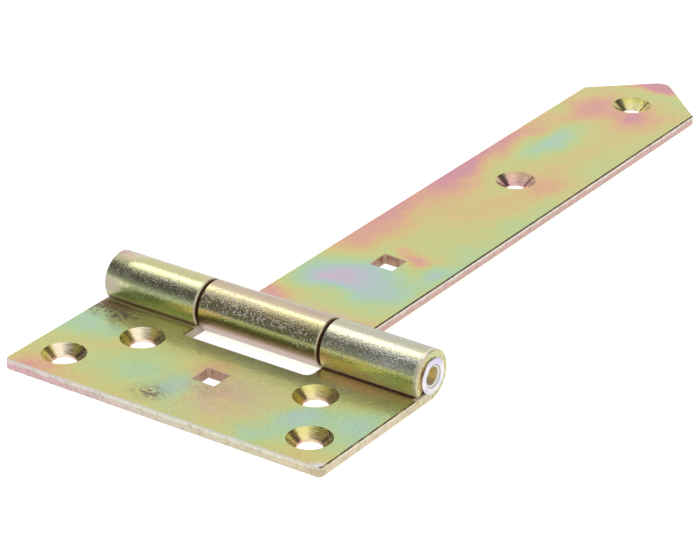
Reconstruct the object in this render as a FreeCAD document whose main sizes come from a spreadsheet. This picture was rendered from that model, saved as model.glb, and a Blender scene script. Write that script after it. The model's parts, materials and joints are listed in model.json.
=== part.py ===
import FreeCAD, Part
import math
import os

import Sketcher

os.makedirs("parts", exist_ok=True)

# A gate hinge lying open and flat. Lengths are in millimetres and angles in degrees.
# Every piece is drawn about the pin: X runs along the pin, Y along the strap, and Z is up from the
# underside. The bodies are then placed so that the origin is the middle of the whole underside.

SIZES = [
    ("plate", 3.0, "thickness of both stamped plates"),
    ("pin_diameter", 8.0, "shank of the pin"),
    ("pin_clearance", 0.05, "gap all round between the pin and the rolled bores"),
    ("knuckle_gap", 1.0, "gap at each end of the middle knuckle"),
    ("seam", 0.1, "gap between a rolled end's outer corner and the plate under it"),
    ("roll_edge", 0.35, "rounding of the rolled end's outer edge"),
    ("edge_bevel", 0.3, "bevel of the sheared edges"),
    ("leaf_length", 100.0, "cross leaf, along the pin"),
    ("leaf_reach", 48.5, "pin axis to the free edge of the cross leaf"),
    ("leaf_corner", 1.5, "rounding of the cross leaf's two corners"),
    ("slot_reach", 11.6, "pin axis to the front of the knuckle slot"),
    ("slot_corner_left", 0.5, "rounding of the slot's front corner on the left"),
    ("slot_corner_right", 1.8, "rounding of its front corner on the right"),
    ("leaf_square", 7.3, "side of the cross leaf's square bolt hole"),
    ("leaf_square_reach", 26.2, "pin axis to that hole's middle"),
    ("leaf_hole", 6.7, "screw holes of the cross leaf"),
    ("leaf_sink", 12.0, "their countersinks at the top face"),
    ("leaf_sink_angle", 98.0, "their countersinks' full angle"),
    ("front_hole_margin", 11.0, "end of the cross leaf to the front hole beside it, along the pin"),
    ("front_hole_inset", 10.9, "free edge of the cross leaf to the two front holes"),
    ("back_hole_margin", 7.7, "side of the knuckle slot to the back hole beside it, along the pin"),
    ("back_hole_reach", 19.2, "pin axis to the two back holes"),
    ("strap_width", 38.0, "strap, along the pin"),
    ("strap_reach", 202.6, "pin axis to the end of the strap's tip"),
    ("tip_length", 16.0, "how far the two slanted edges of the tip run along the strap"),
    ("tip_radius", 4.0, "rounding of the tip's end"),
    ("strap_square", 7.6, "side of the strap's square bolt hole"),
    ("strap_square_reach", 53.7, "pin axis to that hole's middle"),
    ("strap_hole", 5.6, "screw holes of the strap"),
    ("strap_sink", 11.5, "their countersinks at the top face"),
    ("strap_sink_angle", 96.0, "their countersinks' full angle"),
    ("far_hole_inset", 19.6, "end of the strap's tip to the screw hole near it"),
    ("strap_hole_pitch", 65.0, "from that screw hole to the strap's other one"),
    ("end_play", 0.1, "gap between each riveted head and the knuckle"),
    ("head_diameter", 9.8, "riveted heads of the pin"),
    ("head_thickness", 0.5, "their thickness"),
    ("head_edge", 0.2, "rounding of their outer edge"),
    ("dish_diameter", 6.8, "mouth of the dish in each head"),
    ("dish_depth", 0.5, "depth at which the dish meets the drilled hole"),
    ("drill_diameter", 4.9, "drilled hole in each end of the pin"),
    ("drill_depth", 3.0, "its depth to the start of the drill point"),
    ("drill_point", 118.0, "full angle of the drill point"),
]

# What follows from the sizes.
BORE_RADIUS = "(Sizes.pin_diameter / 2 + Sizes.pin_clearance)"
KNUCKLE_RADIUS = "(Sizes.pin_diameter / 2 + Sizes.pin_clearance + Sizes.plate)"
ROLL_END_HEIGHT = "(Sizes.plate + Sizes.seam)"
SLOT_WIDTH = "(Sizes.strap_width + 2 * Sizes.knuckle_gap)"
HEAD_SEAT = "(Sizes.leaf_length / 2 + Sizes.end_play)"
HEAD_FACE = "(Sizes.leaf_length / 2 + Sizes.end_play + Sizes.head_thickness)"
FRONT_HOLE_OFF = "(Sizes.leaf_length / 2 - Sizes.front_hole_margin)"
FRONT_HOLE_REACH = "(Sizes.leaf_reach - Sizes.front_hole_inset)"
BACK_HOLE_OFF = "(Sizes.strap_width / 2 + Sizes.knuckle_gap + Sizes.back_hole_margin)"
FAR_HOLE_REACH = "(Sizes.strap_reach - Sizes.far_hole_inset)"
NEAR_HOLE_REACH = "(Sizes.strap_reach - Sizes.far_hole_inset - Sizes.strap_hole_pitch)"
MIDDLE_SHIFT = "(Sizes.leaf_reach - Sizes.strap_reach) / 2"

CUT_MARGIN = 1.0
CLOSE = 1e-4

# How a sketch numbers its own two axes, and its origin.
X_AXIS_INDEX = -1
Y_AXIS_INDEX = -2
ORIGIN = (X_AXIS_INDEX, 1)

doc = FreeCAD.newDocument("GateHinge")
sheet = doc.addObject("Spreadsheet::Sheet", "Sizes")
for row, (alias, value, note) in enumerate(SIZES, start=1):
    sheet.set(f"A{row}", alias)
    sheet.set(f"B{row}", str(value))
    sheet.set(f"C{row}", note)
    sheet.setAlias(f"B{row}", alias)
doc.recompute()


def number(expression):
    """The present value of an expression of the sheet's sizes."""
    return float(sheet.evalExpression(expression))


def new_body(name):
    body = doc.addObject("PartDesign::Body", name)
    body.Label = name
    return body


def new_sketch(body, name, plane_role, lift=None):
    """A sketch on one of the body's own planes, raised by lift along the plane's normal."""
    plane = next(item for item in body.Origin.OriginFeatures if item.Role == plane_role)
    sketch = body.newObject("Sketcher::SketchObject", name)
    sketch.AttachmentSupport = (plane, [""])
    sketch.MapMode = "FlatFace"
    if lift is not None:
        sketch.setExpression("AttachmentOffset.Base.z", lift)
    return sketch


def constrain(sketch, kind, *where):
    sketch.addConstraint(Sketcher.Constraint(kind, *where))


def dimension(sketch, name, expression, kind, *where):
    """A named dimension of a sketch, bound to the sheet."""
    index = sketch.addConstraint(Sketcher.Constraint(kind, *where, number(expression)))
    sketch.renameConstraint(index, name)
    sketch.setExpression(f"Constraints.{name}", expression)


def place(sketch, name, kind, point, expression):
    """Holds a point at a signed distance from the origin, along X or Y as kind says."""
    if number(expression) < 0:
        dimension(sketch, name, f"-({expression})", kind, *point, *ORIGIN)
    else:
        dimension(sketch, name, expression, kind, *ORIGIN, *point)


def line(sketch, start, end):
    """Adds a straight edge between two points and gives its number in the sketch."""
    ends = [FreeCAD.Vector(*point, 0) for point in (start, end)]
    return sketch.addGeometry(Part.LineSegment(*ends), False)


def arc(sketch, centre, radius, start_angle, end_angle):
    """Adds an arc, anticlockwise, with its angles in radians."""
    circle = Part.Circle(FreeCAD.Vector(*centre, 0), FreeCAD.Vector(0, 0, 1), radius)
    return sketch.addGeometry(Part.ArcOfCircle(circle, start_angle, end_angle), False)


def rectangle(sketch, low, high, width):
    """A rectangle centred on X = 0, from low to high along the sketch's Y."""
    half = number(width) / 2
    bottom_y = number(low)
    top_y = number(high)
    bottom = line(sketch, (-half, bottom_y), (half, bottom_y))
    right = line(sketch, (half, bottom_y), (half, top_y))
    top = line(sketch, (half, top_y), (-half, top_y))
    left = line(sketch, (-half, top_y), (-half, bottom_y))
    for first, second in ((bottom, right), (right, top), (top, left), (left, bottom)):
        constrain(sketch, "Coincident", first, 2, second, 1)
    constrain(sketch, "Symmetric", bottom, 1, bottom, 2, Y_AXIS_INDEX)
    constrain(sketch, "Horizontal", top)
    constrain(sketch, "Vertical", right)
    constrain(sketch, "Vertical", left)
    dimension(sketch, "width", width, "DistanceX", bottom, 1, bottom, 2)
    place(sketch, "low", "DistanceY", (bottom, 1), low)
    place(sketch, "high", "DistanceY", (top, 1), high)


def circles(sketch, centres, diameter):
    """Circles whose centres are given as pairs of expressions."""
    for count, (across, along) in enumerate(centres):
        centre = FreeCAD.Vector(number(across), number(along), 0)
        circle = Part.Circle(centre, FreeCAD.Vector(0, 0, 1), number(diameter) / 2)
        index = sketch.addGeometry(circle, False)
        dimension(sketch, f"diameter_{count}", diameter, "Diameter", index)
        if number(across) == 0:
            constrain(sketch, "PointOnObject", index, 3, Y_AXIS_INDEX)
        else:
            place(sketch, f"across_{count}", "DistanceX", (index, 3), across)
        place(sketch, f"along_{count}", "DistanceY", (index, 3), along)


def rolled_profile(body, side, reach):
    """The section of a plate whose end is rolled up round the pin, seen along the pin.

    The plate runs from the knuckle towards side (-1 or 1) along Y. The roll leaves the plate under
    the pin, goes once round it and stops just above the plate's top face, with a narrow seam. Its
    end is square to the roll, so the seam opens towards the pin.
    """
    knuckle = number(KNUCKLE_RADIUS)
    bore = number(BORE_RADIUS)
    plate = number("Sizes.plate")
    end_height = number(ROLL_END_HEIGHT)
    free_y = side * number(reach)
    stop = math.asin((knuckle - end_height) / knuckle)
    centre = (0, knuckle)
    if side < 0:
        angles = (-math.pi / 2, math.pi + stop)
        root_index, tip_index = 1, 2
    else:
        angles = (-stop, 1.5 * math.pi)
        root_index, tip_index = 2, 1
    outer_tip = (side * knuckle * math.cos(stop), end_height)
    inner_tip = (side * bore * math.cos(stop), knuckle - bore * math.sin(stop))

    sketch = new_sketch(body, "RolledProfile", "YZ_Plane")
    underside = line(sketch, (free_y, 0), (0, 0))
    outer = arc(sketch, centre, knuckle, *angles)
    roll_end = line(sketch, outer_tip, inner_tip)
    inner = arc(sketch, centre, bore, *angles)
    top = line(sketch, (0, plate), (free_y, plate))
    free_edge = line(sketch, (free_y, plate), (free_y, 0))
    constrain(sketch, "Tangent", underside, 2, outer, root_index)
    constrain(sketch, "Tangent", inner, root_index, top, 1)
    constrain(sketch, "Coincident", outer, tip_index, roll_end, 1)
    constrain(sketch, "Coincident", roll_end, 2, inner, tip_index)
    constrain(sketch, "Coincident", top, 2, free_edge, 1)
    constrain(sketch, "Coincident", free_edge, 2, underside, 1)
    constrain(sketch, "Coincident", outer, 3, inner, 3)
    constrain(sketch, "PointOnObject", outer, 3, Y_AXIS_INDEX)
    constrain(sketch, "PointOnObject", underside, 1, X_AXIS_INDEX)
    constrain(sketch, "PointOnObject", outer, 3, roll_end)
    for flat in (underside, top):
        constrain(sketch, "Horizontal", flat)
    constrain(sketch, "Vertical", free_edge)
    dimension(sketch, "knuckle_radius", KNUCKLE_RADIUS, "Radius", outer)
    dimension(sketch, "bore_radius", BORE_RADIUS, "Radius", inner)
    place(sketch, "roll_end_height", "DistanceY", (roll_end, 1), ROLL_END_HEIGHT)
    place(sketch, "reach", "DistanceX", (free_edge, 1), reach if side > 0 else f"-{reach}")
    return sketch


def pad_both_ways(body, sketch, length):
    pad = body.newObject("PartDesign::Pad", "Plate")
    pad.Profile = sketch
    pad.SideType = "Symmetric"
    pad.setExpression("Length", length)
    doc.recompute()
    return pad


def cut_up(body, sketch, name):
    """Cuts the sketch's outline upwards through everything, from the underside."""
    before = body.Shape.Volume
    pocket = body.newObject("PartDesign::Pocket", name)
    pocket.Profile = sketch
    pocket.Type = "ThroughAll"
    pocket.Reversed = True
    doc.recompute()
    assert body.Shape.Volume < before - CLOSE, f"{name} cuts nothing"
    return pocket


def countersink(body, sketch, name, diameter, sink, angle):
    """Countersunk holes, down from the top face."""
    doc.recompute()
    before = body.Shape.Volume
    hole = body.newObject("PartDesign::Hole", name)
    hole.Profile = sketch
    hole.DepthType = "ThroughAll"
    hole.HoleCutType = "Countersink"
    hole.setExpression("Diameter", diameter)
    hole.setExpression("HoleCutDiameter", sink)
    hole.setExpression("HoleCutCountersinkAngle", angle)
    doc.recompute()
    assert body.Shape.Volume < before - CLOSE, f"{name} cuts nothing"
    return hole


def dress_edges(body, kind, name, size, chosen):
    """Dresses those edges of the body so far for which chosen says yes, by a Fillet or a Chamfer."""
    base = body.Tip
    edges = [f"Edge{count}" for count, edge in enumerate(base.Shape.Edges, start=1) if chosen(edge)]
    assert edges, f"{name} finds no edge"
    dressing = body.newObject(f"PartDesign::{kind}", name)
    dressing.Base = (base, edges)
    dressing.setExpression("Radius" if kind == "Fillet" else "Size", size)
    doc.recompute()


def round_edges(body, name, radius, chosen):
    dress_edges(body, "Fillet", name, radius, chosen)


def bevel_edges(body, name, size, chosen):
    dress_edges(body, "Chamfer", name, size, chosen)


def is_upright(edge, across, along):
    """Whether an edge stands upright at one of the places across, and at along."""
    box = edge.BoundBox
    upright = box.XLength < CLOSE and box.YLength < CLOSE
    return upright and abs(box.YMin - along) < CLOSE and any(abs(box.XMin - x) < CLOSE for x in across)


def is_roll_end(edge, side):
    """Whether an edge is the outer corner of the rolled end."""
    box = edge.BoundBox
    straight = box.YLength < CLOSE and box.ZLength < CLOSE
    drop = number(KNUCKLE_RADIUS) - number(ROLL_END_HEIGHT)
    outer_y = side * math.sqrt(number(KNUCKLE_RADIUS) ** 2 - drop ** 2)
    return straight and abs(box.YMin - outer_y) < CLOSE and abs(box.ZMin - number(ROLL_END_HEIGHT)) < CLOSE


def is_sheared(edge, halves):
    """Whether an edge bounds one of the sheared side faces, which stand at plus or minus each half."""
    box = edge.BoundBox
    in_side_face = box.XLength < CLOSE and any(abs(abs(box.XMin) - half) < CLOSE for half in halves)
    return in_side_face and not (box.YLength < CLOSE and box.ZLength > CLOSE)


def make_cross_leaf():
    body = new_body("cross_leaf")
    profile = rolled_profile(body, -1, "Sizes.leaf_reach")
    pad_both_ways(body, profile, "Sizes.leaf_length")

    slot = new_sketch(body, "KnuckleSlotOutline", "XY_Plane")
    rectangle(slot, "-Sizes.slot_reach", f"{KNUCKLE_RADIUS} + {CUT_MARGIN}", SLOT_WIDTH)
    cut_up(body, slot, "KnuckleSlot")

    square = new_sketch(body, "SquareHoleOutline", "XY_Plane")
    low = "-Sizes.leaf_square_reach - Sizes.leaf_square / 2"
    high = "-Sizes.leaf_square_reach + Sizes.leaf_square / 2"
    rectangle(square, low, high, "Sizes.leaf_square")
    cut_up(body, square, "SquareHole")

    pairs = ((FRONT_HOLE_OFF, f"-{FRONT_HOLE_REACH}"), (BACK_HOLE_OFF, "-Sizes.back_hole_reach"))
    centres = [(f"{sign}{off}", along) for off, along in pairs for sign in ("-", "")]
    holes = new_sketch(body, "ScrewHoleCentres", "XY_Plane", "Sizes.plate")
    circles(holes, centres, "Sizes.leaf_hole")
    countersink(body, holes, "ScrewHoles", "Sizes.leaf_hole", "Sizes.leaf_sink", "Sizes.leaf_sink_angle")

    end_x = number("Sizes.leaf_length") / 2
    free_y = -number("Sizes.leaf_reach")
    slot_x = number(SLOT_WIDTH) / 2
    slot_y = -number("Sizes.slot_reach")

    def is_plate_corner(edge):
        return is_upright(edge, (-end_x, end_x), free_y)

    round_edges(body, "PlateCorners", "Sizes.leaf_corner", is_plate_corner)
    for side, x in (("left", -slot_x), ("right", slot_x)):
        radius = f"Sizes.slot_corner_{side}"
        round_edges(body, f"Slot{side.title()}Corner", radius, lambda edge: is_upright(edge, (x,), slot_y))
    round_edges(body, "RollEnds", "Sizes.roll_edge", lambda edge: is_roll_end(edge, -1))
    bevel_edges(body, "ShearedEdges", "Sizes.edge_bevel", lambda edge: is_sheared(edge, (end_x, slot_x)))
    return body


def tip_outline(body):
    """What is cut away beside the strap's tip: two slanted edges that meet in a rounded end."""
    half = number("Sizes.strap_width") / 2
    radius = number("Sizes.tip_radius")
    reach = number("Sizes.strap_reach")
    corner_y = reach - number("Sizes.tip_length")
    centre_y = reach - radius
    side_x = half + CUT_MARGIN
    beyond_y = reach + CUT_MARGIN
    gap = math.hypot(half, corner_y - centre_y)
    touch = math.atan2(corner_y - centre_y, half) + math.acos(radius / gap)
    touch_x = radius * math.cos(touch)
    touch_y = centre_y + radius * math.sin(touch)

    sketch = new_sketch(body, "TipOutline", "XY_Plane")
    end = arc(sketch, (0, centre_y), radius, touch, math.pi - touch)
    right_slant = line(sketch, (touch_x, touch_y), (half, corner_y))
    right_step = line(sketch, (half, corner_y), (side_x, corner_y))
    right_side = line(sketch, (side_x, corner_y), (side_x, beyond_y))
    beyond = line(sketch, (side_x, beyond_y), (-side_x, beyond_y))
    left_side = line(sketch, (-side_x, beyond_y), (-side_x, corner_y))
    left_step = line(sketch, (-side_x, corner_y), (-half, corner_y))
    left_slant = line(sketch, (-half, corner_y), (-touch_x, touch_y))
    constrain(sketch, "Tangent", end, 1, right_slant, 1)
    constrain(sketch, "Tangent", left_slant, 2, end, 2)
    chain = (right_slant, right_step, right_side, beyond, left_side, left_step, left_slant)
    for first, second in zip(chain, chain[1:]):
        constrain(sketch, "Coincident", first, 2, second, 1)
    for flat in (right_step, left_step):
        constrain(sketch, "Horizontal", flat)
    for upright in (right_side, left_side):
        constrain(sketch, "Vertical", upright)
    constrain(sketch, "PointOnObject", end, 3, Y_AXIS_INDEX)
    constrain(sketch, "Symmetric", right_step, 1, left_step, 2, Y_AXIS_INDEX)
    constrain(sketch, "Symmetric", beyond, 1, beyond, 2, Y_AXIS_INDEX)
    dimension(sketch, "tip_radius", "Sizes.tip_radius", "Radius", end)
    place(sketch, "end_centre", "DistanceY", (end, 3), "Sizes.strap_reach - Sizes.tip_radius")
    place(sketch, "corner", "DistanceY", (right_step, 1), "Sizes.strap_reach - Sizes.tip_length")
    place(sketch, "half_width", "DistanceX", (right_step, 1), "Sizes.strap_width / 2")
    place(sketch, "side", "DistanceX", (beyond, 1), f"Sizes.strap_width / 2 + {CUT_MARGIN}")
    place(sketch, "beyond", "DistanceY", (beyond, 1), f"Sizes.strap_reach + {CUT_MARGIN}")
    return sketch


def make_strap_leaf():
    body = new_body("strap_leaf")
    profile = rolled_profile(body, 1, "Sizes.strap_reach")
    pad_both_ways(body, profile, "Sizes.strap_width")
    cut_up(body, tip_outline(body), "Tip")

    square = new_sketch(body, "SquareHoleOutline", "XY_Plane")
    low = "Sizes.strap_square_reach - Sizes.strap_square / 2"
    high = "Sizes.strap_square_reach + Sizes.strap_square / 2"
    rectangle(square, low, high, "Sizes.strap_square")
    cut_up(body, square, "SquareHole")

    holes = new_sketch(body, "ScrewHoleCentres", "XY_Plane", "Sizes.plate")
    circles(holes, [("0", NEAR_HOLE_REACH), ("0", FAR_HOLE_REACH)], "Sizes.strap_hole")
    countersink(body, holes, "ScrewHoles", "Sizes.strap_hole", "Sizes.strap_sink", "Sizes.strap_sink_angle")
    round_edges(body, "RollEnd", "Sizes.roll_edge", lambda edge: is_roll_end(edge, 1))

    half = number("Sizes.strap_width") / 2
    corner_y = number("Sizes.strap_reach - Sizes.tip_length")

    def is_outline(edge):
        box = edge.BoundBox
        beside_tip = box.ZLength < CLOSE and box.YMin > corner_y - CLOSE and box.YLength > CLOSE
        around_tip = beside_tip and not edge.isClosed() and box.YMax > corner_y + CLOSE
        return is_sheared(edge, (half,)) or around_tip

    bevel_edges(body, "ShearedEdges", "Sizes.edge_bevel", is_outline)
    return body


def make_hinge_pin():
    """Half of the pin is turned about its axis, with its head and dished end, and then mirrored."""
    point_depth = "Sizes.drill_diameter / 2 / tan(Sizes.drill_point / 2 * 1 deg)"
    outline = [
        ("0", "0"),
        ("0", "Sizes.pin_diameter / 2"),
        (HEAD_SEAT, "Sizes.pin_diameter / 2"),
        (HEAD_SEAT, "Sizes.head_diameter / 2"),
        (HEAD_FACE, "Sizes.head_diameter / 2"),
        (HEAD_FACE, "Sizes.dish_diameter / 2"),
        (f"{HEAD_FACE} - Sizes.dish_depth", "Sizes.drill_diameter / 2"),
        (f"{HEAD_FACE} - Sizes.drill_depth", "Sizes.drill_diameter / 2"),
        (f"{HEAD_FACE} - Sizes.drill_depth - {point_depth}", "0"),
    ]
    points = [(number(along), number(out)) for along, out in outline]
    body = new_body("hinge_pin")
    sketch = new_sketch(body, "HalfPinProfile", "XZ_Plane")
    sketch.setExpression("AttachmentOffset.Base.y", KNUCKLE_RADIUS)
    edges = [line(sketch, start, end) for start, end in zip(points, points[1:] + points[:1])]
    for first, second in zip(edges, edges[1:] + edges[:1]):
        constrain(sketch, "Coincident", first, 2, second, 1)
    constrain(sketch, "Coincident", edges[0], 1, *ORIGIN)
    constrain(sketch, "PointOnObject", edges[-1], 1, X_AXIS_INDEX)
    for count, (along, out) in enumerate(outline):
        if number(along) > 0:
            place(sketch, f"along_{count}", "DistanceX", (edges[count], 1), along)
        elif number(out) > 0:
            constrain(sketch, "PointOnObject", edges[count], 1, Y_AXIS_INDEX)
        if number(out) > 0:
            place(sketch, f"out_{count}", "DistanceY", (edges[count], 1), out)

    half = body.newObject("PartDesign::Revolution", "HalfPin")
    half.Profile = sketch
    half.ReferenceAxis = (sketch, ["H_Axis"])
    doc.recompute()
    mirrored = body.newObject("PartDesign::Mirrored", "WholePin")
    mirrored.Originals = [half]
    middle = next(item for item in body.Origin.OriginFeatures if item.Role == "YZ_Plane")
    mirrored.MirrorPlane = (middle, [""])
    body.Tip = mirrored
    doc.recompute()

    def is_head_edge(edge):
        box = edge.BoundBox
        round_size = abs(box.ZLength - number("Sizes.head_diameter")) < CLOSE
        return round_size and abs(abs(box.XMin) - number(HEAD_FACE)) < CLOSE

    round_edges(body, "HeadEdges", "Sizes.head_edge", is_head_edge)
    return body


bodies = [make_cross_leaf(), make_strap_leaf(), make_hinge_pin()]
for body in bodies:
    body.setExpression(".Placement.Base.y", MIDDLE_SHIFT)
doc.recompute()

for item in doc.Objects:
    assert not {"Invalid", "Error"} & set(item.State), f"{item.Label}: {item.State}"
    if item.isDerivedFrom("Sketcher::SketchObject"):
        assert item.FullyConstrained, f"{item.Label} isn't fully constrained"
for body in bodies:
    shape = body.Shape
    assert not shape.isNull() and shape.isValid(), f"{body.Label} isn't valid"
    assert len(shape.Solids) == 1, f"{body.Label} isn't one solid"
    shape.exportStep(f"parts/{body.Label}.step")
    print(body.Label, round(shape.Volume, 1), shape.BoundBox)
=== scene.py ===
"""A gate hinge that lies open on a pale floor: two yellow plated steel plates and a bare riveted pin."""

import json
import math

import bpy
from mathutils import Matrix, Vector

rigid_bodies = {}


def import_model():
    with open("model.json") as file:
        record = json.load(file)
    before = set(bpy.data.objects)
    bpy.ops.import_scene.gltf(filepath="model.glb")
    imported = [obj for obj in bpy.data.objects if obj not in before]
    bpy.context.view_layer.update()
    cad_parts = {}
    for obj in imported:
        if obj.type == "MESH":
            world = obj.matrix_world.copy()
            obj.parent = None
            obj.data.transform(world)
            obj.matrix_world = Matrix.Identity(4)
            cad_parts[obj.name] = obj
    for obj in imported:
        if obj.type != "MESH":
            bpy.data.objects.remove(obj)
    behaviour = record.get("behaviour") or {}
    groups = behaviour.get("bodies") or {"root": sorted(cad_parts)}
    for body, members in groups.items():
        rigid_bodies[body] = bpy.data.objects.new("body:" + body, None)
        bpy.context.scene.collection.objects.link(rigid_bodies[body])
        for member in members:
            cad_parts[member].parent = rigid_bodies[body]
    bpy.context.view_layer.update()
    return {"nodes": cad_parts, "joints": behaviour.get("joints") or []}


for thing in list(bpy.data.objects):
    bpy.data.objects.remove(thing)
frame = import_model()

MM = 0.001
PIN = Vector(frame["joints"][0]["pos_m"])

# Sizes of the hinge in millimetres, about the pin. A pair is where a share starts and where it is full.
PLATE = 3.0
LEAF_LENGTH = 100.0
KNUCKLE_RADIUS = 7.05
HEAD_FACE = 50.6
JUST_OVER_PLATE = PLATE + 0.05
BARREL_SIDE = (7.5, 7.1)
GAP_REACH = 21.0
BETWEEN_STRAP_SINKS = 150.0
FLARE_START = 40.0
LEFT_END_SHADE_LINE_AT = (-49.62, -49.78)
SEAM_SIDE = (-0.25, 0.25)
SEAM_FADE = (-26.0, -42.0)
SEAM_REDDENED = (-30.0, -42.0)
BESIDE_BARREL_FROM = (-19.0, -9.0)
BESIDE_BARREL_TO = (7.0, 6.0)
RING_SIDE = (5.4, 6.3)
RING_SHADE_LINE_SIDE = (6.62, 6.75)
RING_SHADE_LINE_FROM = (3.6, 4.6)
DISH_SIDE = (3.5, 3.4)
DISH_STEP = (2.92, 3.08)
DRILL_SIDE = (2.6, 2.5)
DRILL_MOUTH = (0.5, 1.0)

# The share of the normal that points a way, from where a face or an edge starts to where it is full.
END_FACE_NORMAL = (0.8, 0.95)
SHEARED_NORMAL = (0.25, 0.05)
BEVEL_NORMAL_FROM = (0.40, 0.50)
BEVEL_NORMAL_TO = (0.96, 0.86)
FRONT_NORMAL = (-0.30, -0.50)
RIGHT_NORMAL = (0.30, 0.50)
TOP_FACE_NORMAL = (0.5, 0.8)

# Heights of the relief in millimetres. The flare is per square millimetre past its start.
DENT_HEIGHT = 0.05
PIT_HEIGHT = 0.17
PLAIN_PIT_HEIGHT = 0.005
SCRATCH_HEIGHT = 0.06
TURNED_RING_HEIGHT = 0.12
TEAR_HEIGHT = 0.018
FLARE_HEIGHT = 0.022
SPECK_SIZE = 0.42

# The camera, from a fit of the hinge's own edges and holes. Lengths are in millimetres about the pin.
CAMERA_AZIMUTH = 35.022
CAMERA_ELEVATION = 26.676
CAMERA_ROLL = -0.103
CAMERA_TARGET = (-5.878, 43.842, 0.0)
CAMERA_DISTANCE = 916.421
CAMERA_LENS = 173.794
CAMERA_SENSOR = 36.0

# The thin film on the plates takes its colour from its thickness, from 0 to 1, as 8-bit screen colours.
FILM_COLOURS = [
    (0.00, (203, 129, 150)),
    (0.12, (220, 150, 131)),
    (0.25, (216, 179, 112)),
    (0.38, (203, 198, 110)),
    (0.52, (183, 203, 128)),
    (0.66, (163, 204, 161)),
    (0.78, (166, 194, 192)),
    (0.90, (184, 184, 198)),
    (1.00, (202, 170, 190)),
]
FILM_BASE = 0.41

# Soft patches in the film: middle about the pin, half lengths, turn in degrees, and change of thickness.
STRAP_PATCHES = [
    ((-6.0, 42.0), (23, 17), -10, 0.32),
    ((-6.0, 41.0), (11, 12), -20, 0.24),
    ((12.0, 38.0), (12, 12), 0, 0.22),
    ((17.5, 58.0), (7, 22), 0, 0.20),
    ((14.0, 56.0), (5, 7), 0, 0.20),
    ((17.5, 92.0), (6, 26), 0, 0.14),
    ((-5.5, 146.0), (7, 17), -4, 0.27),
    ((-18.0, 68.0), (13, 26), 0, -0.30),
    ((-17.0, 100.0), (13, 28), 0, -0.28),
    ((-18.0, 122.0), (9, 22), 0, -0.34),
    ((-17.5, 146.0), (8, 20), 0, -0.30),
    ((-9.0, 172.0), (9, 16), -10, -0.34),
    ((7.0, 176.0), (11, 13), 0, -0.36),
    ((2.0, 199.0), (16, 6), 0, -0.44),
    ((7.0, 120.0), (10, 12), 0, -0.20),
    ((6.0, 104.0), (8, 20), 0, -0.10),
    ((7.0, 152.0), (7, 24), 0, -0.10),
    ((-2.0, 90.0), (10, 12), 0, -0.12),
    ((5.0, 59.0), (8, 5), 0, -0.30),
    ((-18.0, 22.0), (9, 10), 0, -0.34),
    ((4.0, 15.0), (26, 8), 0, -0.30),
]
LEAF_PATCHES = [
    ((-42.0, -47.0), (15, 7), 0, -0.28),
    ((-46.0, -18.5), (9, 10), 0, 0.24),
    ((-37.0, -21.0), (6, 6), 0, 0.20),
    ((-18.0, -34.0), (14, 12), 0, 0.22),
    ((-5.0, -35.0), (7, 8), 0, 0.30),
    ((-1.0, -42.0), (9, 6), 0, 0.10),
    ((-2.0, -22.0), (9, 7), 0, -0.18),
    ((9.0, -33.0), (13, 13), 20, -0.16),
    ((24.0, -44.0), (9, 7), 0, 0.22),
    ((32.0, -34.0), (9, 11), 0, 0.28),
    ((36.0, -26.0), (9, 7), 0, 0.15),
    ((47.0, -26.0), (8, 14), 0, 0.28),
    ((27.0, -28.0), (6, 6), 0, -0.06),
    ((46.0, -45.0), (12, 6), 0, -0.06),
]

# Tarnished patches, on the cross leaf partly painted reflections of the knuckles beside the barrel: middle,
# half lengths, turn in degrees, strength, colour, and share of speckle.
LEAF_TARNISH_AND_REFLECTIONS = [
    ((9.0, -33.0), (20, 16), 10, 0.48, (190, 172, 160), 0.1),
    ((3.0, -31.0), (6, 5), 0, 0.35, (150, 120, 90), 1.0),
    ((-8.0, -41.5), (6, 5.5), 20, 0.58, (116, 84, 62), 1.2),
    ((31.0, -13.0), (20, 5), 0, 0.55, (128, 114, 92), 0.6),
    ((-42.5, -10.8), (11, 6), 0, 1.25, (88, 70, 40), 0.9),
    ((49.5, -47.8), (3.2, 2.4), 0, 0.90, (228, 220, 230), 0.3),
    ((-4.0, -13.0), (26, 4), 0, 0.55, (114, 108, 76), 0.6),
]
STRAP_TARNISH = [((2.0, 17.0), (26, 6), 0, 0.60, (206, 182, 176), 0.2)]

# Stains of the cross leaf along the seams, partly painted light that lifts and colours what the knuckles
# mirror there: middle, half lengths, turn in degrees, strength and colour.
SEAM_STAINS_AND_PAINTED_LIGHT = [
    ((35.0, -8.8), (19, 3.2), 0, 0.85, (206, 150, 108)),
    ((-30.0, -8.6), (15, 3.0), 0, 0.60, (176, 168, 104)),
    ((-46.0, -8.6), (8, 3.0), 0, 0.80, (122, 80, 44)),
]

# Countersinks: middle about the pin, and radius of the mouth.
STRAP_SINKS = [((0.0, 183.0), 5.77), ((0.0, 118.0), 5.77)]
LEAF_SINKS = [
    ((-39.0, -37.6), 6.02),
    ((39.0, -37.6), 6.02),
    ((-27.7, -19.2), 6.02),
    ((27.7, -19.2), 6.02),
]

# The film in the countersinks, from the underside up to the top face.
NEAR_SINK_COLOURS = [(0.0, (214, 170, 168)), (0.5, (232, 186, 178)), (1.0, (206, 180, 140))]
FAR_SINK_COLOURS = [(0.0, (216, 204, 170)), (0.5, (232, 230, 150)), (1.0, (190, 186, 96))]
LEAF_SINK_COLOURS = [
    (0.0, (236, 190, 180)),
    (0.25, (246, 214, 180)),
    (0.55, (240, 218, 112)),
    (1.0, (214, 206, 88)),
]
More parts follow.
